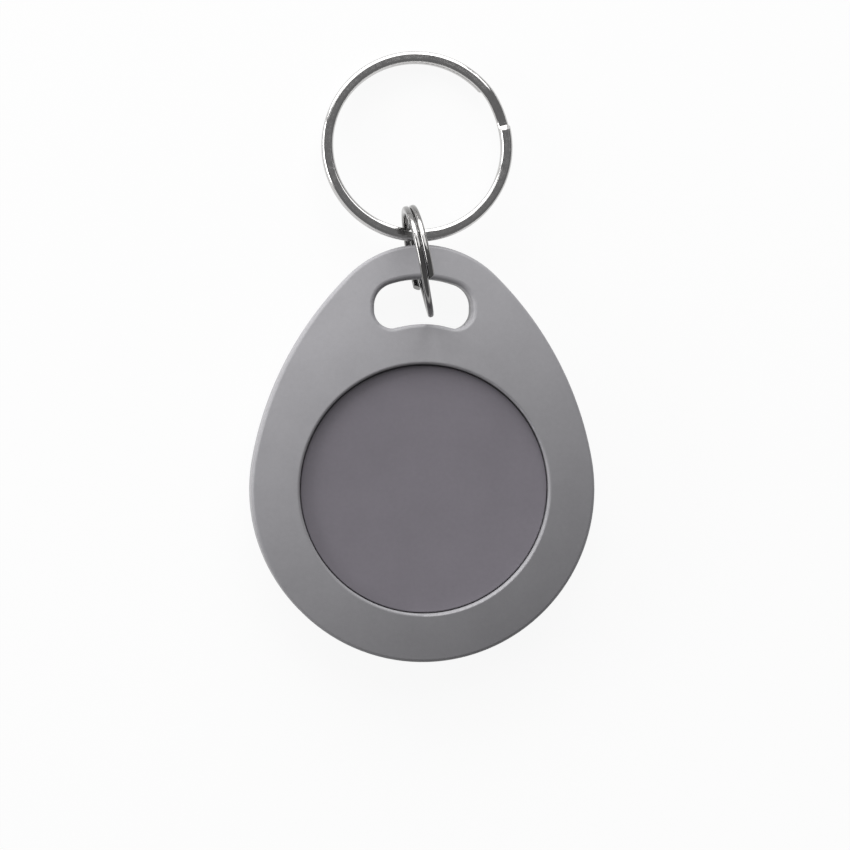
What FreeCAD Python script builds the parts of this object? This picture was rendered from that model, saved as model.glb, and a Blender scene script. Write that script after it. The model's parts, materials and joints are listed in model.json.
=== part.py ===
import FreeCAD, Part
import math
import os
import Sketcher

# A drop-shaped plastic proximity tag with its two split rings, in millimetres and degrees.
# The tag lies on its back: z = 0 is its flat seat, +Y points from the round disc to the tip,
# and the origin is on the seat, under the centre of the disc.

Vector = FreeCAD.Vector
Rotation = FreeCAD.Rotation
Placement = FreeCAD.Placement

# Driving dimensions
SIZES = {
    # Outline of the tag: a round base, two long side arcs and a round tip
    "base_radius": 17.45,
    "base_drop": 0.1,
    "side_radius": 35.0,
    "tip_radius": 10.5,
    # Heights and the two shallow domes
    "front_height": 3.6,
    "parting_height": 2.6,
    "crown_width": 5.6,
    "rim_land": 0.3,
    "front_slope_inner": 9.0,
    "front_slope_outer": 14.0,
    "seat_margin": 0.4,
    "rear_slope_inner": 5.0,
    "rear_slope_outer": 10.0,
    "front_edge_fillet": 0.4,
    "rear_edge_fillet": 0.8,
    # Round recess and its insert
    "disc_diameter": 25.0,
    "disc_thickness": 0.4,
    "disc_clearance": 0.1,
    "disc_edge_fillet": 0.1,
    "recess_depth": 0.7,
    "recess_fillet": 0.25,
    # Bean-shaped slot
    "slot_web": 4.05,
    "slot_width": 10.0,
    "slot_lobe_drop": 0.45,
    "slot_lower_corner": 1.8,
    "slot_end_wall": 0.41,
    "slot_upper_corner": 2.4,
    "slot_arch_radius": 10.3,
    "bar_width": 3.5,
    "slot_fillet": 0.45,
    # Inside of the shells
    "cavity_wall": 1.8,
    "front_web": 1.0,
    "rear_floor": 1.2,
    "weld_inset": 1.4,
    "tongue_width": 0.7,
    "tongue_height": 0.6,
    "weld_clearance": 0.05,
    "coil_rib_wall": 0.8,
    "coil_rib_height": 0.45,
    "coil_clearance": 0.15,
    "nest_wall": 0.5,
    "nest_height": 0.3,
    "nest_clearance": 0.1,
    # Antenna coil and its two leads
    "coil_room": 2.5,
    "coil_width": 2.5,
    "coil_height": 1.6,
    "coil_corner": 0.35,
    "lead_diameter": 0.24,
    "lead_spacing": 3.6,
    "lead_clearance": 0.03,
    # Transponder chip on its board
    "board_length": 5.0,
    "board_width": 3.4,
    "board_thickness": 0.5,
    "board_rib_gap": 1.05,
    "seal_diameter": 2.2,
    "seal_height": 0.6,
    "solder_diameter": 0.9,
    "solder_height": 0.4,
    "solder_fillet": 0.2,
    "solder_margin": 0.65,
    # Small split ring, standing on edge through the slot
    "link_room": 5.35,
    "link_radial": 0.75,
    "link_axial": 0.64,
    "link_side_flat": 0.06,
    "link_ramp": 130.0,
    "link_end_angle": -70.0,
    "link_end_slope": 0.45,
    "link_yaw": 11.5,
    "link_side_shift": 0.5,
    "link_slot_gap": 0.665,
    # Large split ring for keys, lying flat with its near strand in the small ring
    "key_inner_diameter": 17.2,
    "key_radial": 1.15,
    "key_axial": 0.78,
    "key_side_flat": 0.04,
    "key_ramp": 26.0,
    "key_end_angle": 14.0,
    "key_end_slope": 0.65,
    "key_side_shift": 0.4,
    "key_tip_gap": 0.36,
    # Shared by the rings
    "turn_gap": 0.04,
    "end_cut_spare": 0.1,
    "ring_contact_gap": 0.2,
}

# Sizes that follow from the driving ones, as formulas of the sheet
DERIVED = {
    "base_centre": "-base_drop",
    "recess_radius": "disc_diameter / 2 + disc_clearance",
    "slot_bump_reach": "recess_radius + slot_web",
    "slot_lobe_reach": "slot_bump_reach - slot_lobe_drop",
    "slot_end_reach": "slot_lobe_reach + slot_lower_corner + slot_end_wall",
    "slot_half_width": "slot_width / 2",
    "slot_left": "-slot_half_width",
    "slot_arch_centre":
        "slot_end_reach - sqrt((slot_arch_radius - slot_upper_corner) ^ 2"
        " - (slot_half_width - slot_upper_corner) ^ 2)",
    "slot_corner_span": "slot_half_width - slot_lower_corner",
    "slot_bump_step": "slot_lower_corner - slot_lobe_drop",
    "slot_bump_radius":
        "(slot_corner_span ^ 2 + slot_bump_step ^ 2 - slot_lower_corner ^ 2)"
        " / (2 * slot_lobe_drop)",
    "slot_bump_centre": "slot_bump_reach - slot_bump_radius",
    "tip_reach": "slot_arch_centre + slot_arch_radius + bar_width",
    "tip_centre": "tip_reach - tip_radius",
    "tag_height": "parting_height + front_height",
    "land_radius": "recess_radius + rim_land",
    "crown_radius": "land_radius + crown_width",
    "seat_radius": "recess_radius + seat_margin",
    "front_dome_radius":
        "(crown_radius - land_radius) / (sin(front_slope_outer) - sin(front_slope_inner))",
    "front_crown_height":
        "tag_height - front_dome_radius * (cos(front_slope_inner) - cos(front_slope_outer))",
    "rear_dome_radius":
        "(crown_radius - seat_radius) / (sin(rear_slope_outer) - sin(rear_slope_inner))",
    "rear_crown_height":
        "rear_dome_radius * (cos(rear_slope_inner) - cos(rear_slope_outer))",
    "tip_run": "tip_reach - crown_radius",
    "front_tip_wall":
        "front_crown_height - tip_run * tan(front_slope_outer) - parting_height",
    "rear_tip_wall":
        "parting_height - rear_crown_height - tip_run * tan(rear_slope_outer)",
    "front_rim_radius": "min(front_edge_fillet; front_tip_wall)",
    "rear_rim_radius": "min(rear_edge_fillet; 1.1 * rear_tip_wall)",
    "dome_reach": "tip_reach + 4",
    "front_dome_top": "tag_height + 1",
    "rear_dome_top": "-1",
    "seat_height": "0",
    "disc_radius": "disc_diameter / 2",
    "recess_floor": "tag_height - recess_depth - disc_thickness",
    "recess_cut": "recess_depth + disc_thickness",
    "front_cavity_depth": "recess_floor - front_web - parting_height",
    "rear_cavity_depth": "parting_height - rear_floor",
    "tongue_inset": "weld_inset + tongue_width",
    "groove_outer_inset": "weld_inset - weld_clearance",
    "groove_inner_inset": "tongue_inset + weld_clearance",
    "groove_depth": "tongue_height + weld_clearance",
    "cavity_radius": "base_radius - groove_inner_inset - cavity_wall",
    "coil_outer_radius": "cavity_radius - coil_room",
    "coil_inner_radius": "coil_outer_radius - coil_width",
    "rib_outer_radius": "coil_inner_radius - coil_clearance",
    "rib_inner_radius": "rib_outer_radius - coil_rib_wall",
    "board_reach":
        "rib_inner_radius - board_rib_gap - nest_wall - nest_clearance - board_width / 2",
    "coil_top": "rear_floor + coil_height",
    "board_top": "rear_floor + board_thickness",
    "board_right": "board_length / 2",
    "board_left": "-board_right",
    "board_far": "board_width / 2 - board_reach",
    "board_near": "-board_width / 2 - board_reach",
    "nest_right": "board_right + nest_clearance",
    "nest_left": "-nest_right",
    "nest_far": "board_far + nest_clearance",
    "nest_near": "board_near - nest_clearance",
    "nest_wall_right": "nest_right + nest_wall",
    "nest_wall_left": "-nest_wall_right",
    "nest_wall_far": "nest_far + nest_wall",
    "nest_wall_near": "nest_near - nest_wall",
    "seal_radius": "seal_diameter / 2",
    "seal_top": "board_top + seal_height",
    "seal_dome_radius": "(seal_radius ^ 2 + seal_height ^ 2) / (2 * seal_height)",
    "solder_radius": "solder_diameter / 2",
    "solder_y": "board_near + solder_margin",
    "solder_right_x": "lead_spacing / 2",
    "solder_left_x": "-solder_right_x",
    "lead_radius": "lead_diameter / 2",
    "lead_height": "board_top + lead_radius + lead_clearance",
    "lead_start": "coil_inner_radius + lead_diameter",
    "lead_length": "lead_start + solder_y - solder_radius - lead_clearance",
    "link_inner_radius": "(bar_width + key_radial + link_room) / 2",
    "key_inner_radius": "key_inner_diameter / 2",
}

# The outline again, drawn smaller by each inset of the weld joint
OUTLINE_RADII = ("base_radius", "side_radius", "tip_radius")
INSETS = ("weld_inset", "tongue_inset", "groove_outer_inset", "groove_inner_inset")
for inset_name in INSETS:
    for radius_name in OUTLINE_RADII:
        DERIVED[f"{inset_name}_{radius_name}"] = f"{radius_name} - {inset_name}"

# Each ring's section, and how far a turn's middle lies from the middle of the ring
for ring_name in ("link", "key"):
    DERIVED[f"{ring_name}_outer_radius"] = f"{ring_name}_inner_radius + {ring_name}_radial"
    DERIVED[f"{ring_name}_corner"] = f"({ring_name}_axial - {ring_name}_side_flat) / 2"
    DERIVED[f"{ring_name}_section_top"] = f"{ring_name}_axial / 2"
    DERIVED[f"{ring_name}_section_low"] = f"-{ring_name}_section_top"
    DERIVED[f"{ring_name}_turn_lift"] = f"({ring_name}_axial + turn_gap) / 2"
    DERIVED[f"{ring_name}_turn_angle"] = f"360 - {ring_name}_ramp"
    for side_name, sign in (("low", ""), ("high", "-")):
        opposite = "" if sign else "-"
        DERIVED[f"{ring_name}_{side_name}_cut_end"] = f"{sign}{ring_name}_end_slope"
        DERIVED[f"{ring_name}_{side_name}_cut_root"] = f"{opposite}turn_gap / 2"
        DERIVED[f"{ring_name}_{side_name}_cut_face"] = (
            f"{opposite}(turn_gap / 2 + {ring_name}_axial + end_cut_spare)")

SHEET = "Dimensions"
RAMP_SECTIONS = 9
EDGE_SPARE = 0.05

doc = FreeCAD.newDocument("proximity_tag")


def make_sheet():
    """Writes every size into the sheet and gives back its values by name."""
    sheet = doc.addObject("Spreadsheet::Sheet", SHEET)
    rows = list(SIZES.items()) + [(name, "=" + formula) for name, formula in DERIVED.items()]
    for row, (name, content) in enumerate(rows, start=1):
        sheet.set(f"A{row}", name)
        sheet.setAlias(f"B{row}", name)
        sheet.set(f"B{row}", str(content))
    doc.recompute()
    return {name: float(sheet.get(name)) for name, content in rows}


size = make_sheet()


def sine(name):
    return math.sin(math.radians(size[name]))


def cosine(name):
    return math.cos(math.radians(size[name]))


def tie(target, path, name, factor=None):
    """Ties a property or a sketch dimension to a cell of the sheet."""
    cell = f"{SHEET}.{name}"
    target.setExpression(path, cell if factor is None else f"{factor:.9f} * {cell}")


def new_body(label):
    body = doc.addObject("PartDesign::Body", label)
    body.Label = label
    return body


def new_sketch(body, name, height=None, role="XY_Plane", turn=0.0):
    """A sketch on a plane of the body, moved along its normal or turned about its upright."""
    plane = next(item for item in body.Origin.OriginFeatures if item.Role == role)
    sketch = body.newObject("Sketcher::SketchObject", name)
    sketch.AttachmentSupport = (plane, [""])
    sketch.MapMode = "FlatFace"
    sketch.AttachmentOffset = Placement(Vector(), Rotation(Vector(0, 1, 0), turn))
    if height:
        tie(sketch, "AttachmentOffset.Base.z", height)
    return sketch


def dimension(sketch, name, kind, *places):
    """Adds a dimension with a cell's value to a sketch and ties it to that cell."""
    index = sketch.addConstraint(Sketcher.Constraint(kind, *places, size[name]))
    tie(sketch, f"Constraints[{index}]", name)


def relate(sketch, kind, *places):
    sketch.addConstraint(Sketcher.Constraint(kind, *places))


def arc(centre_x, centre_y, radius, start, end):
    """A counterclockwise arc between two angles."""
    circle = Part.Circle(Vector(centre_x, centre_y, 0), Vector(0, 0, 1), radius)
    return Part.ArcOfCircle(circle, math.radians(start), math.radians(end))


def line(start, end):
    return Part.LineSegment(Vector(*start), Vector(*end))


def add_loop(sketch, curves, joint="Coincident"):
    """Adds curves that follow each other in a closed loop and joins their ends."""
    loop = [sketch.addGeometry(curve, False) for curve in curves]
    for curve, following in zip(loop, loop[1:] + loop[:1]):
        relate(sketch, joint, curve, 2, following, 1)
    return loop


def add_circle(sketch, radius, centre=None):
    """A circle about the sketch's origin, or about a centre given as two cells."""
    x, y = (size[name] for name in centre) if centre else (0.0, 0.0)
    circle = sketch.addGeometry(Part.Circle(Vector(x, y), Vector(0, 0, 1), size[radius]), False)
    if centre:
        dimension(sketch, centre[0], "DistanceX", -1, 1, circle, 3)
        dimension(sketch, centre[1], "DistanceY", -1, 1, circle, 3)
    else:
        relate(sketch, "Coincident", circle, 3, -1, 1)
    dimension(sketch, radius, "Radius", circle)


def add_rectangle(sketch, left, right, low, high):
    corners = [(size[left], size[low]), (size[right], size[low]),
               (size[right], size[high]), (size[left], size[high])]
    sides = [line(start, end) for start, end in zip(corners, corners[1:] + corners[:1])]
    low_side, right_side, high_side, left_side = add_loop(sketch, sides)
    for side in (low_side, high_side):
        relate(sketch, "Horizontal", side)
    for side in (right_side, left_side):
        relate(sketch, "Vertical", side)
    dimension(sketch, left, "DistanceX", -1, 1, low_side, 1)
    dimension(sketch, low, "DistanceY", -1, 1, low_side, 1)
    dimension(sketch, right, "DistanceX", -1, 1, high_side, 1)
    dimension(sketch, high, "DistanceY", -1, 1, high_side, 1)


def add_section(sketch, left, right, low, high, corner):
    """A wire or winding section beside the axis: flat sides joined by four round corners."""
    radius = size[corner]
    near, far = size[left] + radius, size[right] - radius
    bottom, top = size[low] + radius, size[high] - radius
    centres = [(far, bottom), (far, top), (near, top), (near, bottom)]
    bends = [arc(x, y, radius, 90 * turn - 90, 90 * turn) for turn, (x, y) in enumerate(centres)]
    sides = [line(bend.EndPoint, following.StartPoint)
             for bend, following in zip(bends, bends[1:] + bends[:1])]
    loop = add_loop(sketch, [piece for pair in zip(bends, sides) for piece in pair], "Tangent")
    far_side, top_side, near_side, low_side = loop[1::2]
    relate(sketch, "Vertical", far_side)
    for bend in loop[0::2]:
        dimension(sketch, corner, "Radius", bend)
    dimension(sketch, right, "DistanceX", -1, 1, far_side, 1)
    dimension(sketch, high, "DistanceY", -1, 1, top_side, 1)
    dimension(sketch, left, "DistanceX", -1, 1, near_side, 1)
    dimension(sketch, low, "DistanceY", -1, 1, low_side, 1)


def add_outline(sketch, inset=None):
    """The drop, or the drop drawn smaller: base, side, tip and side arcs, each tangent."""
    names = [f"{inset}_{name}" if inset else name for name in OUTLINE_RADII]
    base, side, tip = (size[name] for name in names)
    base_y, tip_y = size["base_centre"], size["tip_centre"]
    to_base, to_tip, span = side - base, side - tip, tip_y - base_y
    lean = math.acos((to_base ** 2 + span ** 2 - to_tip ** 2) / (2 * to_base * span))
    side_x = to_base * math.sin(lean)
    side_y = base_y + to_base * math.cos(lean)
    low = math.degrees(lean) - 90
    high = math.degrees(math.atan2(tip_y - side_y, side_x))
    curves = [arc(0, base_y, base, 180 - low, 360 + low),
              arc(-side_x, side_y, side, low, high),
              arc(0, tip_y, tip, high, 180 - high),
              arc(side_x, side_y, side, 180 - high, 180 - low)]
    base_arc, right_arc, tip_arc, left_arc = add_loop(sketch, curves, "Tangent")
    dimension(sketch, names[0], "Radius", base_arc)
    dimension(sketch, names[1], "Radius", right_arc)
    dimension(sketch, names[1], "Radius", left_arc)
    dimension(sketch, names[2], "Radius", tip_arc)
    for curve, name in ((base_arc, "base_centre"), (tip_arc, "tip_centre")):
        relate(sketch, "PointOnObject", curve, 3, -2)
        dimension(sketch, name, "DistanceY", -1, 1, curve, 3)


def add_slot(sketch):
    """The bean: an arch under the bar, round ends, and a bump that follows the disc."""
    edge, upper, lower = (size[name] for name in ("slot_half_width", "slot_upper_corner",
                                                  "slot_lower_corner"))
    arch, arch_y = size["slot_arch_radius"], size["slot_arch_centre"]
    bump, bump_y = size["slot_bump_radius"], size["slot_bump_centre"]
    upper_x, lower_x = edge - upper, edge - lower
    upper_y = arch_y + math.sqrt((arch - upper) ** 2 - upper_x ** 2)
    lower_y = bump_y + math.sqrt((bump + lower) ** 2 - lower_x ** 2)
    high = math.degrees(math.atan2(upper_y - arch_y, upper_x))
    low = math.degrees(math.atan2(lower_y - bump_y, lower_x))
    curves = [arc(lower_x, lower_y, lower, 180 + low, 360),
              line((edge, lower_y), (edge, upper_y)),
              arc(upper_x, upper_y, upper, 0, high),
              arc(0, arch_y, arch, high, 180 - high),
              arc(-upper_x, upper_y, upper, 180 - high, 180),
              line((-edge, upper_y), (-edge, lower_y)),
              arc(-lower_x, lower_y, lower, 180, 360 - low)]
    chain = [sketch.addGeometry(curve, False) for curve in curves]
    for curve, following in zip(chain, chain[1:]):
        relate(sketch, "Tangent", curve, 2, following, 1)
    bump_arc = sketch.addGeometry(arc(0, bump_y, bump, low, 180 - low), False)
    right_lower, right_wall, right_upper, arch_arc, left_upper, left_wall, left_lower = chain
    relate(sketch, "Tangent", left_lower, 2, bump_arc, 2)
    relate(sketch, "Tangent", bump_arc, 1, right_lower, 1)
    for curve, name in ((right_lower, "slot_lower_corner"), (left_lower, "slot_lower_corner"),
                        (right_upper, "slot_upper_corner"), (left_upper, "slot_upper_corner"),
                        (arch_arc, "slot_arch_radius"), (bump_arc, "slot_bump_radius")):
        dimension(sketch, name, "Radius", curve)
    for curve, name in ((arch_arc, "slot_arch_centre"), (bump_arc, "slot_bump_centre")):
        relate(sketch, "PointOnObject", curve, 3, -2)
        dimension(sketch, name, "DistanceY", -1, 1, curve, 3)
    for wall, name in ((right_wall, "slot_half_width"), (left_wall, "slot_left")):
        relate(sketch, "Vertical", wall)
        dimension(sketch, name, "DistanceX", -1, 1, wall, 1)


def add_dome_waste(sketch, face, flat_radius, flat_height, beyond):
    """What is turned away outside a dome, whose arc leaves the flat and ends in a cone."""
    radius = size[f"{face}_dome_radius"]
    inner, outer = size[f"{face}_slope_inner"], size[f"{face}_slope_outer"]
    crown_x, crown_y = size["crown_radius"], size[f"{face}_crown_height"]
    flat_x, flat_y = size[flat_radius], size[flat_height]
    upward = size[beyond] > flat_y
    rise = 1 if upward else -1
    centre_x = flat_x - radius * sine(f"{face}_slope_inner")
    centre_y = flat_y - rise * radius * cosine(f"{face}_slope_inner")
    angles = (90 - outer, 90 - inner) if upward else (270 + inner, 270 + outer)
    crown_end, flat_end = (1, 2) if upward else (2, 1)
    reach = size["dome_reach"]
    edge_y = crown_y - rise * (reach - crown_x) * math.tan(math.radians(outer))
    bend = sketch.addGeometry(arc(centre_x, centre_y, radius, *angles), False)
    corners = [(crown_x, crown_y), (reach, edge_y), (reach, size[beyond]),
               (flat_x, size[beyond]), (flat_x, flat_y)]
    cone, outside, top, inside = [sketch.addGeometry(line(start, end), False)
                                  for start, end in zip(corners, corners[1:])]
    relate(sketch, "Tangent", bend, crown_end, cone, 1)
    for side, following in ((cone, outside), (outside, top), (top, inside)):
        relate(sketch, "Coincident", side, 2, following, 1)
    relate(sketch, "Coincident", inside, 2, bend, flat_end)
    relate(sketch, "Vertical", outside)
    relate(sketch, "Horizontal", top)
    relate(sketch, "Vertical", inside)
    dimension(sketch, f"{face}_dome_radius", "Radius", bend)
    dimension(sketch, flat_radius, "DistanceX", -1, 1, inside, 2)
    dimension(sketch, flat_height, "DistanceY", -1, 1, inside, 2)
    dimension(sketch, "crown_radius", "DistanceX", -1, 1, cone, 1)
    dimension(sketch, f"{face}_crown_height", "DistanceY", -1, 1, cone, 1)
    dimension(sketch, "dome_reach", "DistanceX", -1, 1, outside, 1)
    dimension(sketch, beyond, "DistanceY", -1, 1, top, 1)


def feature(body, kind, sketch, length=None, reverse=False, through=False):
    """A Pad, Pocket, Groove or Revolution of a sketch."""
    made = body.newObject(f"PartDesign::{kind}", f"{sketch.Name}_{kind.lower()}")
    made.Profile = sketch
    made.Reversed = reverse
    if length:
        tie(made, "Length", length)
    if through:
        made.Type = "ThroughAll"
    if kind in ("Groove", "Revolution"):
        made.ReferenceAxis = (sketch, ["V_Axis"])
        made.Angle = 360
    return made


def stands_upright(face):
    """True for a wall that rises along Z."""
    surface = face.Surface
    if isinstance(surface, Part.Plane):
        return abs(surface.Axis.z) < 1e-6
    return isinstance(surface, Part.Cylinder) and abs(surface.Axis.z) > 1 - 1e-6


def in_slot(edge):
    box = edge.BoundBox
    spare = 0.01
    return (box.YMin > size["slot_lobe_reach"] - spare and box.YMax < size["tip_reach"] - spare
            and box.XLength < size["slot_width"] + spare and abs(box.XMin) < size["slot_width"])


def in_recess(edge):
    return edge.BoundBox.YMax < size["land_radius"] and edge.BoundBox.XMax < size["land_radius"]


def rim_edges(solid, low, high, chosen):
    """Names of the edges between two heights where a wall ends, as far as they are chosen."""
    names = []
    for number, edge in enumerate(solid.Shape.Edges, start=1):
        faces = solid.Shape.ancestorsOfType(edge, Part.Face)
        walls = [face for face in faces if stands_upright(face)]
        middle = edge.CenterOfMass
        if len(faces) == 2 and len(walls) == 1 and low < middle.z < high and chosen(edge):
            names.append(f"Edge{number}")
    return names


def fillet(body, solid, name, radius, names):
    made = body.newObject("PartDesign::Fillet", name)
    made.Base = (solid, names)
    tie(made, "Radius", radius)
    doc.recompute()
    return made


def make_front_shell():
    """The moulded front: domed drop with the slot, the recess, the cavity and the weld groove."""
    body = new_body("front_shell")
    outline = new_sketch(body, "front_outline", "parting_height")
    add_outline(outline)
    feature(body, "Pad", outline, "front_height")
    dome = new_sketch(body, "front_dome", role="XZ_Plane")
    add_dome_waste(dome, "front", "land_radius", "tag_height", "front_dome_top")
    feature(body, "Groove", dome)
    slot = new_sketch(body, "front_slot", "tag_height")
    add_slot(slot)
    feature(body, "Pocket", slot, through=True)
    recess = new_sketch(body, "front_recess", "tag_height")
    add_circle(recess, "recess_radius")
    solid = feature(body, "Pocket", recess, "recess_cut")
    doc.recompute()
    low, high = size["parting_height"] + EDGE_SPARE, size["tag_height"] + EDGE_SPARE
    rim = rim_edges(solid, low, high, lambda edge: not in_slot(edge) and not in_recess(edge))
    solid = fillet(body, solid, "front_rim_fillet", "front_rim_radius", rim)
    solid = fillet(body, solid, "front_slot_fillet", "slot_fillet",
                   rim_edges(solid, low, high, in_slot))
    low = size["tag_height"] - EDGE_SPARE
    solid = fillet(body, solid, "recess_rim_fillet", "recess_fillet",
                   rim_edges(solid, low, high, in_recess))
    cavity = new_sketch(body, "front_cavity", "parting_height")
    add_circle(cavity, "cavity_radius")
    feature(body, "Pocket", cavity, "front_cavity_depth", reverse=True)
    groove = new_sketch(body, "weld_groove", "parting_height")
    add_outline(groove, "groove_outer_inset")
    add_outline(groove, "groove_inner_inset")
    feature(body, "Pocket", groove, "groove_depth", reverse=True)
    return body


def make_rear_shell():
    """The moulded back: flat seat, shallow dome, coil rib, chip nest and weld tongue."""
    body = new_body("rear_shell")
    outline = new_sketch(body, "rear_outline", "seat_height")
    add_outline(outline)
    feature(body, "Pad", outline, "parting_height")
    dome = new_sketch(body, "rear_dome", role="XZ_Plane")
    add_dome_waste(dome, "rear", "seat_radius", "seat_height", "rear_dome_top")
    feature(body, "Groove", dome)
    slot = new_sketch(body, "rear_slot", "parting_height")
    add_slot(slot)
    solid = feature(body, "Pocket", slot, through=True)
    doc.recompute()
    low, high = size["seat_height"] - EDGE_SPARE, size["parting_height"] - EDGE_SPARE
    solid = fillet(body, solid, "rear_rim_fillet", "rear_rim_radius",
                   rim_edges(solid, low, high, lambda edge: not in_slot(edge)))
    fillet(body, solid, "rear_slot_fillet", "slot_fillet", rim_edges(solid, low, high, in_slot))
    cavity = new_sketch(body, "rear_cavity", "parting_height")
    add_circle(cavity, "cavity_radius")
    feature(body, "Pocket", cavity, "rear_cavity_depth")
    rib = new_sketch(body, "coil_rib", "rear_floor")
    add_circle(rib, "rib_outer_radius")
    add_circle(rib, "rib_inner_radius")
    feature(body, "Pad", rib, "coil_rib_height")
    nest = new_sketch(body, "chip_nest", "rear_floor")
    add_rectangle(nest, "nest_wall_left", "nest_wall_right", "nest_wall_near", "nest_wall_far")
    add_rectangle(nest, "nest_left", "nest_right", "nest_near", "nest_far")
    feature(body, "Pad", nest, "nest_height")
    tongue = new_sketch(body, "weld_tongue", "parting_height")
    add_outline(tongue, "weld_inset")
    add_outline(tongue, "tongue_inset")
    feature(body, "Pad", tongue, "tongue_height")
    return body


def make_face_disc():
    """The round insert that fills the floor of the recess."""
    body = new_body("face_disc")
    outline = new_sketch(body, "disc_outline", "recess_floor")
    add_circle(outline, "disc_radius")
    solid = feature(body, "Pad", outline, "disc_thickness")
    doc.recompute()
    top = [f"Edge{number}" for number, edge in enumerate(solid.Shape.Edges, start=1)
           if edge.BoundBox.ZMin > size["recess_floor"] + EDGE_SPARE]
    fillet(body, solid, "disc_edge_round", "disc_edge_fillet", top)
    return body


def make_antenna_coil():
    """The winding, wound and bonded in one block, with the two leads that leave it."""
    body = new_body("antenna_coil")
    winding = new_sketch(body, "winding_section", role="XZ_Plane")
    add_section(winding, "coil_inner_radius", "coil_outer_radius", "rear_floor", "coil_top",
                "coil_corner")
    feature(body, "Revolution", winding)
    leads = new_sketch(body, "lead_ends", "lead_start", role="XZ_Plane")
    for side in ("right", "left"):
        add_circle(leads, "lead_radius", (f"solder_{side}_x", "lead_height"))
    feature(body, "Pad", leads, "lead_length", reverse=True)
    return body


def make_chip_board():
    body = new_body("chip_board")
    outline = new_sketch(body, "board_outline", "rear_floor")
    add_rectangle(outline, "board_left", "board_right", "board_near", "board_far")
    feature(body, "Pad", outline, "board_thickness")
    return body


def make_chip_seal():
    """A drop of epoxy over the chip, a shallow cap of a ball."""
    body = new_body("chip_seal")
    section = new_sketch(body, "seal_section", "board_reach", role="XZ_Plane")
    radius, base, top = size["seal_dome_radius"], size["board_top"], size["seal_top"]
    start = math.degrees(math.asin((base - top + radius) / radius))
    curves = [line((0, base), (size["seal_radius"], base)),
              arc(0, top - radius, radius, start, 90), line((0, top), (0, base))]
    base_line, cap, axis_line = add_loop(section, curves)
    relate(section, "Horizontal", base_line)
    relate(section, "PointOnObject", axis_line, 1, -2)
    relate(section, "PointOnObject", axis_line, 2, -2)
    relate(section, "PointOnObject", cap, 3, -2)
    dimension(section, "board_top", "DistanceY", -1, 1, base_line, 1)
    dimension(section, "seal_radius", "DistanceX", -1, 1, base_line, 2)
    dimension(section, "seal_top", "DistanceY", -1, 1, axis_line, 1)
    feature(body, "Revolution", section)
    return body


def make_solder_joint(side):
    """One drop of solder that ends a lead of the coil on the board."""
    body = new_body(f"solder_joint_{side}")
    outline = new_sketch(body, f"solder_{side}_outline", "board_top")
    add_circle(outline, "solder_radius", (f"solder_{side}_x", "solder_y"))
    solid = feature(body, "Pad", outline, "solder_height")
    doc.recompute()
    top = [f"Edge{number}" for number, edge in enumerate(solid.Shape.Edges, start=1)
           if edge.BoundBox.ZMin > size["board_top"] + EDGE_SPARE]
    fillet(body, solid, f"solder_{side}_round", "solder_fillet", top)
    return body


def ring_section(body, ring, name, angle, lift):
    """The wire's section at an angle round the ring, lifted by a share of a turn's lift."""
    sketch = new_sketch(body, f"{ring}_{name}", role="XZ_Plane", turn=angle)
    tie(sketch, "AttachmentOffset.Base.y", f"{ring}_turn_lift", lift)
    add_section(sketch, f"{ring}_inner_radius", f"{ring}_outer_radius",
                f"{ring}_section_low", f"{ring}_section_top", f"{ring}_corner")
    return sketch


def make_split_ring(label, ring, placement):
    """Two flat turns of wire, one on the other, joined by a single ramp between their ends."""
    body = new_body(label)
    ramp, ramp_start = size[f"{ring}_ramp"], size[f"{ring}_end_angle"]
    for name, lift in (("low_turn", -1.0), ("high_turn", 1.0)):
        section = ring_section(body, ring, name, ramp_start + ramp, lift)
        turn = feature(body, "Revolution", section)
        tie(turn, "Angle", f"{ring}_turn_angle")
        if lift < 0:
            add_ramp(body, ring, ramp_start, ramp)
    cut_end(body, ring, "low", ramp_start + ramp)
    cut_end(body, ring, "high", ramp_start)
    body.Placement = placement
    return body


def add_ramp(body, ring, ramp_start, ramp):
    """The wire between the turns, through sections that rise slowly, fast and slowly again."""
    sections = []
    for step in range(RAMP_SECTIONS):
        share = step / (RAMP_SECTIONS - 1)
        lift = 2 * share ** 2 * (3 - 2 * share) - 1
        sections.append(ring_section(body, ring, f"ramp_{step}", ramp_start + ramp * share, lift))
    loft = body.newObject("PartDesign::AdditiveLoft", f"{ring}_ramp_loft")
    loft.Profile = sections[0]
    loft.Sections = sections[1:]


def cut_end(body, ring, side, angle):
    """The slanted cut of a turn's free end, thinnest against the other turn."""
    sketch = new_sketch(body, f"{ring}_{side}_end", role="XZ_Plane", turn=angle + 90)
    end, root, face = (size[f"{ring}_{side}_cut_{name}"] for name in ("end", "root", "face"))
    corners = [(0, root), (0, face), (end, face)]
    sides = [line(first, second) for first, second in zip(corners, corners[1:] + corners[:1])]
    upright, across, slant = add_loop(sketch, sides)
    relate(sketch, "PointOnObject", upright, 1, -2)
    relate(sketch, "Vertical", upright)
    relate(sketch, "Horizontal", across)
    dimension(sketch, f"{ring}_{side}_cut_root", "DistanceY", -1, 1, upright, 1)
    dimension(sketch, f"{ring}_{side}_cut_face", "DistanceY", -1, 1, across, 1)
    dimension(sketch, f"{ring}_{side}_cut_end", "DistanceX", -1, 1, slant, 1)
    feature(body, "Pocket", sketch, reverse=True, through=True)


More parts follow.
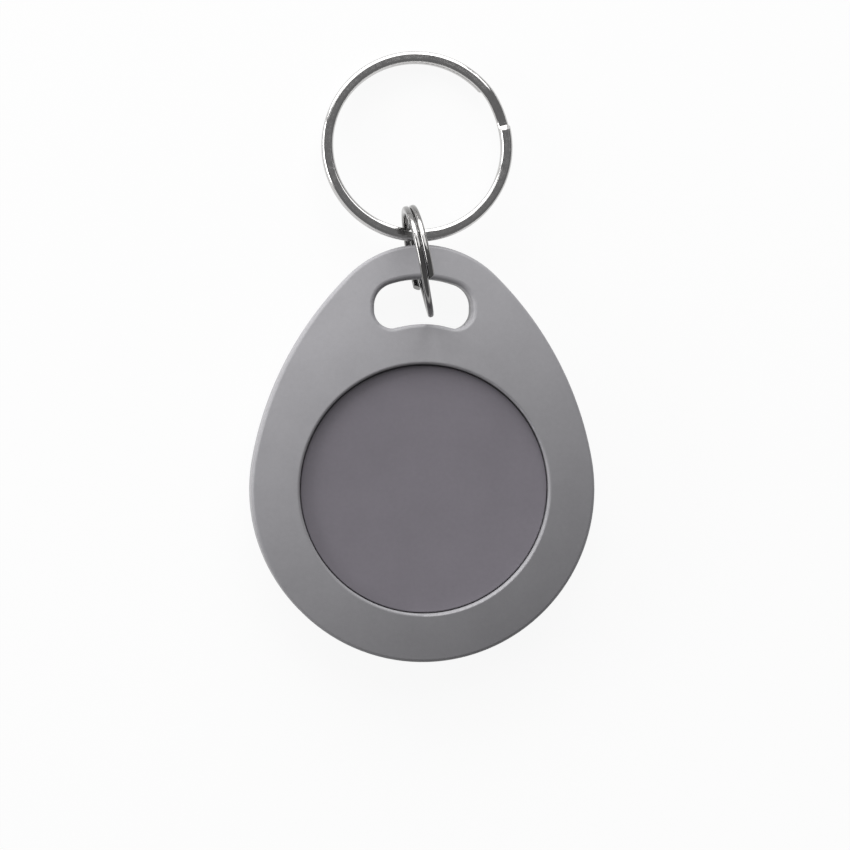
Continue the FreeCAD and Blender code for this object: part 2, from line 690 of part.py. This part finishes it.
def link_placement():
    """On edge on the table round the bar, yawed so that its top leans to the left."""
    radius = size["link_outer_radius"]
    yaw = math.radians(size["link_yaw"])
    normal = Vector(math.cos(yaw), math.sin(yaw), 0)
    to_slot = Vector(math.sin(yaw), -math.cos(yaw), 0)
    near_y = size["slot_bump_reach"] + size["link_slot_gap"]
    centre = Vector(-size["link_side_shift"], near_y + radius * math.cos(yaw), radius)
    return Placement(centre, Rotation(to_slot, normal.cross(to_slot), normal, "ZXY"))


def key_placement():
    """Near strand on the small ring's inside, just off the tip, and far strand on the table."""
    link = link_placement().Base
    corner = size["key_corner"]
    half_stack = size["key_turn_lift"] + size["key_axial"] / 2
    half_radial = size["key_radial"] / 2
    middle_radius = size["key_outer_radius"] - half_radial
    reach = math.hypot(half_radial - corner, half_stack - corner) + corner
    near_y = size["tip_reach"] + size["key_tip_gap"] + half_radial
    seat_radius = size["link_inner_radius"] - size["ring_contact_gap"] - reach
    across = (near_y - link.y) / math.cos(math.radians(size["link_yaw"]))
    near_z = link.z - math.sqrt(seat_radius ** 2 - across ** 2)
    far_z = half_stack + size["ring_contact_gap"] / 2
    tilt = math.asin((near_z - far_z) / (2 * middle_radius))
    near = Vector(-size["key_side_shift"], near_y, near_z)
    turned = Rotation(Vector(1, 0, 0), -math.degrees(tilt))
    return Placement(near + turned.multVec(Vector(0, middle_radius, 0)), turned)


make_front_shell()
make_rear_shell()
make_face_disc()
make_antenna_coil()
make_chip_board()
make_chip_seal()
make_solder_joint("right")
make_solder_joint("left")
make_split_ring("link_ring", "link", link_placement())
make_split_ring("key_ring", "key", key_placement())
doc.recompute()

for item in doc.Objects:
    if "Invalid" in item.State or "Error" in item.State:
        raise RuntimeError(f"{item.Label} failed: {item.State}")

bodies = [item for item in doc.Objects if item.TypeId == "PartDesign::Body"]
for item in bodies:
    if item.Shape.isNull() or not item.Shape.isValid():
        raise RuntimeError(f"{item.Label} has no valid shape")
    if len(item.Shape.Solids) != 1:
        raise RuntimeError(f"{item.Label} is {len(item.Shape.Solids)} solids, not one")

os.makedirs("parts", exist_ok=True)
for item in bodies:
    item.Shape.exportStep(f"parts/{item.Label}.step")
    box = item.Shape.BoundBox
    print(f"{item.Label}: {item.Shape.Volume:.3f} mm3, X {box.XMin:.2f} {box.XMax:.2f},"
          f" Y {box.YMin:.2f} {box.YMax:.2f}, Z {box.ZMin:.2f} {box.ZMax:.2f}")
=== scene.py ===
import json
import math

import bpy
from mathutils import Matrix, Vector


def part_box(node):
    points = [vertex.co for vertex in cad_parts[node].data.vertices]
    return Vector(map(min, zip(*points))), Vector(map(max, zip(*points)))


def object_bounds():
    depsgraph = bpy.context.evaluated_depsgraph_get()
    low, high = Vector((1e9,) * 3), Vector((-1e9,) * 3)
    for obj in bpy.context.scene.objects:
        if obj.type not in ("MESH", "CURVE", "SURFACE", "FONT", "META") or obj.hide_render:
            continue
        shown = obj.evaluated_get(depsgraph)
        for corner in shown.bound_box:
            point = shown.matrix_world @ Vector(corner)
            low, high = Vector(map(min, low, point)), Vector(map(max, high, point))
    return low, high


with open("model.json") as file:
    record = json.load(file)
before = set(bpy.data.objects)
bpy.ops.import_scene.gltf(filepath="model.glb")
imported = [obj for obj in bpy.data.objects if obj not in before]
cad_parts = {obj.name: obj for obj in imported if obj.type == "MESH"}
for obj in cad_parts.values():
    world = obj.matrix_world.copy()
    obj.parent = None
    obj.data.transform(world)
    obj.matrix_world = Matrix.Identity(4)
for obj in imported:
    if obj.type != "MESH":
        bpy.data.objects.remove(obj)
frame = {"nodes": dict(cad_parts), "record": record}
cad_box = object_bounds()

MM = 0.001
WHITE = (1.0, 1.0, 1.0, 1.0)

# The middle stretch of a noise that is spread over a whole range of tone or of roughness
TONE_BAND = (0.35, 0.65)
ROUGH_BAND = (0.3, 0.7)

# Sockets of the Mix node when it mixes two colours
MIX_SHARE, MIX_FIRST, MIX_SECOND, MIX_RESULT = 0, 6, 7, 2


def srgb(red, green, blue):
    """A colour of 0 to 255 a channel as the shader's linear colour, by the sRGB formula."""
    linear = []
    for value in (red, green, blue):
        value /= 255.0
        linear.append(value / 12.92 if value <= 0.04045 else ((value + 0.055) / 1.055) ** 2.4)
    return (*linear, 1.0)


def shade(colour, factor):
    """The same colour, darker or lighter by a factor."""
    return (*(channel * factor for channel in colour[:3]), 1.0)


def named(rows, name):
    """The mount or joint of the record that has this name."""
    return next(row for row in rows if row["name"] == name)


class Tree:
    """A material's or the world's node tree, with short calls to add and link nodes."""

    def __init__(self, owner):
        owner.use_nodes = True
        self.tree = owner.node_tree
        self.tree.nodes.clear()

    def add(self, kind, inputs=None, **settings):
        node = self.tree.nodes.new(kind)
        for name, value in settings.items():
            setattr(node, name, value)
        for key, value in (inputs or {}).items():
            if isinstance(value, bpy.types.NodeSocket):
                self.tree.links.new(value, node.inputs[key])
            else:
                node.inputs[key].default_value = value
        return node

    def math(self, operation, first, second=0.0):
        node = self.add("ShaderNodeMath", {0: first, 1: second}, operation=operation)
        return node.outputs[0]

    def vector(self, operation, inputs, output="Vector"):
        node = self.add("ShaderNodeVectorMath", inputs, operation=operation)
        return node.outputs[output]

    def mix(self, share, first, second):
        inputs = {MIX_SHARE: share, MIX_FIRST: first, MIX_SECOND: second}
        return self.add("ShaderNodeMix", inputs, data_type="RGBA").outputs[MIX_RESULT]

    def span(self, value, band, low=0.0, high=1.0):
        """Spreads a band of values over low to high, and holds what lies outside the band."""
        start, end = band
        node = self.add("ShaderNodeMapRange", {0: value, 1: start, 2: end, 3: low, 4: high})
        return node.outputs[0]

    def noise(self, coordinates, scale, detail, roughness=0.5):
        node = self.add("ShaderNodeTexNoise", {"Vector": coordinates, "Scale": scale,
                                               "Detail": detail, "Roughness": roughness})
        return node.outputs[0]

    def millimetres(self):
        """The object's own coordinates, in millimetres."""
        place = self.add("ShaderNodeTexCoord").outputs["Object"]
        node = self.add("ShaderNodeMapping", {"Vector": place, "Scale": (1 / MM, 1 / MM, 1 / MM)})
        return node.outputs[0]

    def separate(self, vector):
        """The three coordinates of a vector, found by X, Y or Z."""
        return self.add("ShaderNodeSeparateXYZ", {0: vector}).outputs

    def combine(self, first, second):
        """A vector that lies in the XY plane."""
        return self.add("ShaderNodeCombineXYZ", {0: first, 1: second}).outputs[0]

    def bump(self, height, depth_mm, strength, under=None):
        """The normal of a relief, on top of the relief whose normal is under, if there is one."""
        inputs = {"Height": height, "Distance": depth_mm * MM, "Strength": strength}
        if under is not None:
            inputs["Normal"] = under
        return self.add("ShaderNodeBump", inputs).outputs[0]

    def principled(self, **inputs):
        names = {key.replace("_", " "): value for key, value in inputs.items()}
        shader = self.add("ShaderNodeBsdfPrincipled", names)
        self.show(shader)

    def show(self, shader):
        """Links a shader to the output of the material."""
        self.add("ShaderNodeOutputMaterial", {"Surface": shader.outputs[0]})

    def seen(self):
        """1 for rays from the camera and for reflected or refracted ones, 0 for diffuse light."""
        rays = self.add("ShaderNodeLightPath").outputs
        mirrored = self.math("MAXIMUM", rays["Is Glossy Ray"], rays["Is Transmission Ray"])
        return self.math("MAXIMUM", rays["Is Camera Ray"], mirrored)


def new_material(name):
    material = bpy.data.materials.new(name)
    return material, Tree(material)


# Plastic of the shell and of the insert: grey, and a darker violet grey
SHELL_COLOUR = srgb(138, 137, 140)
DISC_COLOUR = srgb(117, 113, 120)
PLASTIC_TINT = 0.045
CLOUD_SHARE = 0.6

# The weld seam: a hairline that is dark up to the first value and flush from the second on
SEAM_EDGE_MM = (0.015, 0.06)
SEAM_WANDER_MM = 0.02
SEAM_DEPTH_MM = 0.03
SEAM_SHADE = 0.55


def weld_seam(tree, place, seam_mm, colour, base, normal):
    """Base colour and normal of the plastic, with a slightly wandering hairline at seam_mm."""
    above = tree.math("SUBTRACT", tree.separate(place)["Z"], seam_mm)
    wander = tree.span(tree.noise(place, scale=0.7, detail=3.0), (0.0, 1.0),
                       -SEAM_WANDER_MM, SEAM_WANDER_MM)
    away = tree.math("ABSOLUTE", tree.math("SUBTRACT", above, wander))
    flush = tree.span(away, SEAM_EDGE_MM)
    seamed = tree.mix(flush, shade(colour, SEAM_SHADE), base)
    return seamed, tree.bump(flush, SEAM_DEPTH_MM, strength=0.5, under=normal)


def moulded_plastic(name, colour, rough, grain_mm, grain_depth_mm, seam_mm=None):
    """Spark-eroded moulded ABS: fine even grain, slight clouding and faint rub marks.

    The weld between the halves of the shell shows as a hairline at the height seam_mm.
    """
    material, tree = new_material(name)
    place = tree.millimetres()
    cloud = tree.noise(place, scale=0.18, detail=3.0)
    mottle = tree.noise(place, scale=2.2, detail=3.0, roughness=0.6)
    grain = tree.noise(place, scale=1.0 / grain_mm, detail=2.0, roughness=0.6)
    rubbing = tree.noise(place, scale=0.9, detail=4.0, roughness=0.65)
    tone = tree.math("ADD", tree.math("MULTIPLY", cloud, CLOUD_SHARE),
                     tree.math("MULTIPLY", mottle, 1.0 - CLOUD_SHARE))
    base = tree.mix(tree.span(tone, TONE_BAND), shade(colour, 1.0 - PLASTIC_TINT),
                    shade(colour, 1.0 + PLASTIC_TINT))
    roughness = tree.span(rubbing, ROUGH_BAND, low=rough - 0.04, high=rough + 0.05)
    waves = tree.bump(cloud, depth_mm=0.03, strength=0.35)
    normal = tree.bump(grain, grain_depth_mm, strength=0.6, under=waves)
    if seam_mm is not None:
        base, normal = weld_seam(tree, place, seam_mm, colour, base, normal)
    tree.principled(Base_Color=base, Roughness=roughness, Normal=normal, IOR=1.46)
    return material


# Nickel-plated steel: the key ring's colour, and a darker copy of the same steel for the link
# ring, which is painted shade for the dark reflections of the edge-on ring
KEY_STEEL_COLOUR = srgb(204, 203, 202)
LINK_STEEL_PAINTED_SHADE_COLOUR = srgb(142, 141, 140)
STEEL_WEAR = 0.06
STEEL_LINE_SHADE = 0.88


def plated_steel(name, colour, centre_mm, axis):
    """Plated spring wire of one ring: drawing lines along the wire, worn spots and small pits.

    The lines follow the ring, because they depend only on the distance from its axis and on
    the height along it.
    """
    material, tree = new_material(name)
    place = tree.millimetres()
    offset = tree.vector("SUBTRACT", {0: place, 1: centre_mm})
    height = tree.vector("DOT_PRODUCT", {0: offset, 1: axis}, "Value")
    along = tree.vector("SCALE", {0: axis, "Scale": height})
    spoke = tree.vector("SUBTRACT", {0: offset, 1: along})
    radius = tree.vector("LENGTH", {0: spoke}, "Value")
    drawn = tree.noise(tree.combine(radius, height), scale=9.0, detail=3.0, roughness=0.6)
    worn = tree.noise(place, scale=0.8, detail=4.0, roughness=0.6)
    pits = tree.noise(place, scale=9.0, detail=3.0, roughness=0.7)
    dulled = tree.noise(place, scale=2.5, detail=4.0, roughness=0.6)
    plating = tree.mix(tree.span(worn, TONE_BAND), shade(colour, 1.0 - STEEL_WEAR),
                       shade(colour, 1.0 + STEEL_WEAR))
    lined = tree.mix(tree.span(drawn, TONE_BAND), shade(colour, STEEL_LINE_SHADE), plating)
    roughness = tree.span(dulled, ROUGH_BAND, low=0.1, high=0.2)
    pitted = tree.bump(pits, depth_mm=0.0015, strength=0.4)
    normal = tree.bump(drawn, depth_mm=0.004, strength=0.4, under=pitted)
    tree.principled(Base_Color=lined, Metallic=1.0, Roughness=roughness, Normal=normal)
    return material


# Waves of the winding and of the glass weave, in radians to a millimetre
WIRE_WAVES = 50.0
WEAVE_WAVES = 14.0


def ripple(tree, length, waves):
    return tree.math("SINE", tree.math("MULTIPLY", length, waves))


def enamelled_winding(name):
    """Bonded turns of enamelled copper: fine rings round the coil under a clear coat."""
    material, tree = new_material(name)
    place = tree.millimetres()
    split = tree.separate(place)
    radius = tree.vector("LENGTH", {0: tree.combine(split["X"], split["Y"])}, "Value")
    wires = tree.math("ADD", ripple(tree, radius, WIRE_WAVES),
                      ripple(tree, split["Z"], WIRE_WAVES))
    tone = tree.noise(place, scale=1.4, detail=3.0)
    colour = tree.mix(tone, srgb(150, 74, 36), srgb(192, 104, 58))
    normal = tree.bump(wires, depth_mm=0.02, strength=0.6)
    roughness = tree.span(tone, ROUGH_BAND, low=0.3, high=0.42)
    tree.principled(Base_Color=colour, Metallic=0.7, Roughness=roughness, Normal=normal)
    return material


def board_laminate(name):
    """Green coated glass laminate with the weave showing faintly."""
    material, tree = new_material(name)
    place = tree.millimetres()
    split = tree.separate(place)
    weave = tree.math("MULTIPLY", ripple(tree, split["X"], WEAVE_WAVES),
                      ripple(tree, split["Y"], WEAVE_WAVES))
    tone = tree.noise(place, scale=2.0, detail=3.0)
    colour = tree.mix(tone, srgb(16, 74, 40), srgb(30, 104, 58))
    normal = tree.bump(weave, depth_mm=0.01, strength=0.5)
    roughness = tree.span(tone, ROUGH_BAND, low=0.3, high=0.45)
    tree.principled(Base_Color=colour, Roughness=roughness, Normal=normal)
    return material


def small_finish(name, dark, light, rough, metallic=0.0):
    """Epoxy or solder: a poured skin with slight waves and dust."""
    material, tree = new_material(name)
    tone = tree.noise(tree.millimetres(), scale=3.0, detail=3.0)
    roughness = tree.span(tone, ROUGH_BAND, low=rough - 0.06, high=rough + 0.08)
    normal = tree.bump(tone, depth_mm=0.02, strength=0.4)
    tree.principled(Base_Color=tree.mix(tone, dark, light), Metallic=metallic,
                    Roughness=roughness, Normal=normal)
    return material


def dress_pieces():
    """Gives each piece of the frame its material."""
    parting_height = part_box("front_shell")[0][2] / MM
    shell = moulded_plastic("shell_plastic", SHELL_COLOUR, rough=0.47, grain_mm=0.14,
                            grain_depth_mm=0.012, seam_mm=parting_height)
    disc = moulded_plastic("disc_plastic", DISC_COLOUR, rough=0.52, grain_mm=0.1,
                           grain_depth_mm=0.006)
    loop = named(frame["record"]["mounts"], "key_loop")
    key_steel = plated_steel("key_ring_steel", KEY_STEEL_COLOUR,
                             Vector(loop["pos_m"]) / MM, Vector(loop["axis"]))
    swing = named(frame["record"]["behaviour"]["joints"], "link_swing")
    link_low, link_high = (Vector(corner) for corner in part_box("link_ring"))
    # The link ring gets the darker copy of the steel colour: painted shade standing in for the
    # dark reflections of the edge-on ring
    link_steel_painted_shade = plated_steel("link_ring_steel_painted_shade", LINK_STEEL_PAINTED_SHADE_COLOUR,
                              (link_low + link_high) / (2 * MM), Vector(swing["axis"]))
    solder = small_finish("solder", srgb(170, 170, 172), srgb(205, 205, 208), rough=0.3,
                          metallic=1.0)
    finishes = {
        "front_shell": shell,
        "rear_shell": shell,
        "face_disc": disc,
        "antenna_coil": enamelled_winding("coil_wire"),
        "chip_board": board_laminate("board_laminate"),
        "chip_seal": small_finish("seal_epoxy", srgb(12, 12, 13), srgb(26, 26, 28), rough=0.22),
        "solder_joint_right": solder,
        "solder_joint_left": solder,
        "link_ring": link_steel_painted_shade,
        "key_ring": key_steel,
    }
    for node_name, material in finishes.items():
        mesh = frame["nodes"][node_name].data
        mesh.materials.clear()
        mesh.materials.append(material)


# Floor, ceiling card and room, in metres and as linear colours
SHEET_SIZE = 12.0
FLOOR_CLEARANCE = 0.02 * MM
FLOOR_COLOUR = (0.8, 0.8, 0.8, 1.0)
FLOOR_GLOW_SHARE = 0.92
CEILING_HEIGHT = 1.0
CEILING_COLOUR = (0.2, 0.2, 0.203, 1.0)
ROOM_COLOUR = (0.06, 0.06, 0.061, 1.0)


def level_sheet(name, height, material):
    bpy.ops.mesh.primitive_plane_add(size=SHEET_SIZE, location=(0, 0, height))
    sheet = bpy.context.object
    sheet.name = name
    sheet.data.materials.append(material)
    return sheet


def make_floor():
    """A white sheet. Seen directly or in metal it stays nearly white and keeps a soft shadow."""
    material, tree = new_material("floor_white")
    paper = tree.add("ShaderNodeBsdfDiffuse", {"Color": FLOOR_COLOUR})
    glow = tree.add("ShaderNodeEmission", {"Color": WHITE, "Strength": 1.0})
    share = tree.math("MULTIPLY", tree.seen(), FLOOR_GLOW_SHARE)
    tree.show(tree.add("ShaderNodeMixShader", {0: share, 1: paper.outputs[0],
                                               2: glow.outputs[0]}))
    floor = level_sheet("floor", cad_box[0][2] - FLOOR_CLEARANCE, material)


def make_world():
    """Dim light from all sides, and a white room for the camera and for reflections."""
    world = bpy.data.worlds.new("room")
    bpy.context.scene.world = world
    tree = Tree(world)
    colour = tree.mix(tree.seen(), ROOM_COLOUR, WHITE)
    background = tree.add("ShaderNodeBackground", {"Color": colour, "Strength": 1.0})
    tree.add("ShaderNodeOutputWorld", {"Surface": background.outputs[0]})


def make_ceiling():
    """A large grey card high above the tag, which the tops of the rings reflect."""
    material, tree = new_material("ceiling_grey")
    tree.show(tree.add("ShaderNodeEmission", {"Color": CEILING_COLOUR, "Strength": 1.0}))
    ceiling = level_sheet("ceiling", CEILING_HEIGHT, material)


# The point that the lamps look at
LAMP_TARGET = Vector((0, 0.005, 0))


def add_lamp(name, azimuth, elevation, distance, width, height, watts):
    """A soft box that looks at the tag from a compass angle, measured from +X towards +Y."""
    lamp = bpy.data.lights.new(name, "AREA")
    lamp.shape = "RECTANGLE"
    lamp.size, lamp.size_y = width, height
    lamp.energy = watts
    holder = bpy.data.objects.new(name, lamp)
    bpy.context.collection.objects.link(holder)
    across, up = math.radians(azimuth), math.radians(elevation)
    direction = Vector((math.cos(up) * math.cos(across), math.cos(up) * math.sin(across),
                        math.sin(up)))
    holder.location = LAMP_TARGET + direction * distance
    holder.rotation_euler = direction.to_track_quat("Z", "Y").to_euler()


# The photograph's camera: its lens, the way it leans in degrees, and the point it looks at
SENSOR_WIDTH_MM = 36.0
FOCAL_LENGTH_MM = 150.0
CAMERA_PAN, CAMERA_TILT, CAMERA_ROLL = 5.787, -0.678, 0.076
CAMERA_DISTANCE_MM = 360.147
CAMERA_TARGET_MM = Vector((0.340, 6.427, 3.0))
NEAR_LIMIT, FAR_LIMIT = 0.01, 10.0


def add_camera():
    """The photograph's view: nearly straight down, a little from the left."""
    lens = bpy.data.cameras.new("photo_view")
    lens.sensor_width = SENSOR_WIDTH_MM
    lens.lens = FOCAL_LENGTH_MM
    lens.clip_start = NEAR_LIMIT
    lens.clip_end = FAR_LIMIT
    camera = bpy.data.objects.new("photo_view", lens)
    bpy.context.collection.objects.link(camera)
    pan, tilt, roll = (math.radians(angle) for angle in (CAMERA_PAN, CAMERA_TILT, CAMERA_ROLL))
    away = Vector((-math.sin(pan) * math.cos(tilt), -math.sin(tilt),
                   math.cos(pan) * math.cos(tilt)))
    up = (Vector((0, 1, 0)) - away * away.y).normalized()
    right = up.cross(away)
    right, up = (right * math.cos(roll) + up * math.sin(roll),
                 up * math.cos(roll) - right * math.sin(roll))
    place = CAMERA_TARGET_MM * MM + away * CAMERA_DISTANCE_MM * MM
    turn = Matrix((right, up, away)).transposed().to_4x4()
    camera.matrix_world = Matrix.Translation(place) @ turn
    bpy.context.scene.camera = camera


dress_pieces()
make_floor()
make_world()
make_ceiling()
add_lamp("upper_box", azimuth=85, elevation=47, distance=0.6, width=0.6, height=0.3, watts=1.4)
add_lamp("broad_box", azimuth=104, elevation=16, distance=0.65, width=1.0, height=0.42, watts=7.6)
add_lamp("side_box", azimuth=172, elevation=14, distance=0.7, width=0.5, height=0.3, watts=3.3)
add_camera()
bpy.context.scene.view_settings.view_transform = "Standard"
